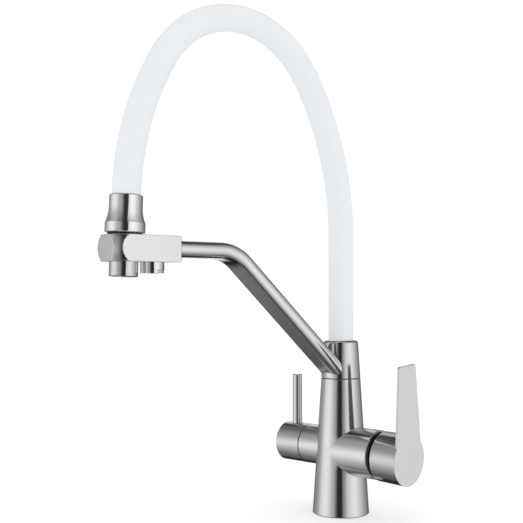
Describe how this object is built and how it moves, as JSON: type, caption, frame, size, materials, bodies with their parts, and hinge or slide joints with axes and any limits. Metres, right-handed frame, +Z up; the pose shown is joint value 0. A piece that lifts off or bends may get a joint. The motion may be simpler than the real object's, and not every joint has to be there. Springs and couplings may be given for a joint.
{
  "type": "kitchen filter tap",
  "caption": "Tall kitchen tap with a white arched hose, a docked pull-out head on a swivelling arm, a side mixer lever and a filter-water valve with a pin lever.",
  "frame": {"origin": "middle of the round base on the counter plane", "axes": "+Z up the column, +X out along the mixer lever housing, the filter valve on -X, the spout to the front (-Y) and turned a few degrees towards -X as pictured"},
  "size_m": [0.1385, 0.2617, 0.4289],
  "materials": {
    "satin": "satin brushed nickel",
    "bright": "polished",
    "white_rubber": "matt cool white",
    "black_rubber": "matt black",
    "black_plastic": "matt black",
    "grey_plastic": "matt pale grey",
    "brass": "turned",
    "ceramic": "ground"
  },
  "bodies": {
    "base": {"body_column": "satin", "base_gasket": "black_rubber", "swivel_washer": "black_plastic", "swivel_o_rings": "black_rubber", "cartridge_seals": "black_rubber", "cartridge_body": "grey_plastic", "fixed_disc": "ceramic", "cartridge_nut": "brass", "gap_ring": "black_plastic", "headwork_washer": "black_rubber", "headwork_body": "brass", "headwork_fixed_disc": "ceramic"},
    "spout": {"swivel_collar": "satin", "swivel_screw": "bright", "spout_arm": "satin", "dock_block": "satin", "filter_outlet": "bright", "filter_aerator": "grey_plastic", "collar_tail": "brass", "hose_sleeve": "white_rubber", "water_tube": "grey_plastic"},
    "head": {"head_tail": "brass", "head_flare": "satin", "head_ring": "black_plastic", "head_barrel": "satin", "head_aerator": "grey_plastic"},
    "carrier": {"cartridge_carrier": "grey_plastic", "pivot_pin": "bright"},
    "lever": {"cartridge_stem": "brass", "mixer_lever": "satin", "lever_grub_screw": "bright"},
    "slider": {"moving_disc": "ceramic"},
    "knob": {"headwork_spindle": "brass", "headwork_turning_disc": "ceramic", "headwork_o_ring": "black_rubber", "filter_knob": "satin", "pin_lever": "bright", "knob_grub_screw": "bright"}
  },
  "joints": [
    {"name": "spout_swivel", "type": "hinge", "parent": "base", "child": "spout", "pos_m": [0, 0, 0.12], "axis": [0, 0, 1], "continuous": true},
    {"name": "mixer_tilt", "type": "hinge", "parent": "carrier", "child": "lever", "pos_m": [0.03, 0, 0.0557], "axis": [0, 0.9972, 0.075], "range_deg": [-1.7, 18.3]},
    {"name": "mixer_turn", "type": "hinge", "parent": "base", "child": "carrier", "pos_m": [0.03, 0, 0.0557], "axis": [1, 0, 0], "range_deg": [-49.3, 40.7]},
    {"name": "disc_slide", "type": "slide", "parent": "carrier", "child": "slider", "axis": [0, -0.075, 0.9972], "range_m": [-0.0003, 0.0023]},
    {"name": "filter_turn", "type": "hinge", "parent": "base", "child": "knob", "pos_m": [-0.04, 0, 0.0575], "axis": [1, 0, 0], "range_deg": [0, 90]},
    {"name": "head_lift", "type": "slide", "parent": "spout", "child": "head", "axis": [0.0055, 0.0415, 0.9991], "range_m": [0, 0.04], "deforming": ["hose_sleeve", "water_tube"]}
  ],
  "couplings": [
    {"joint": "disc_slide", "follows": "mixer_tilt", "m_per_rad": 0.00665}
  ]
}
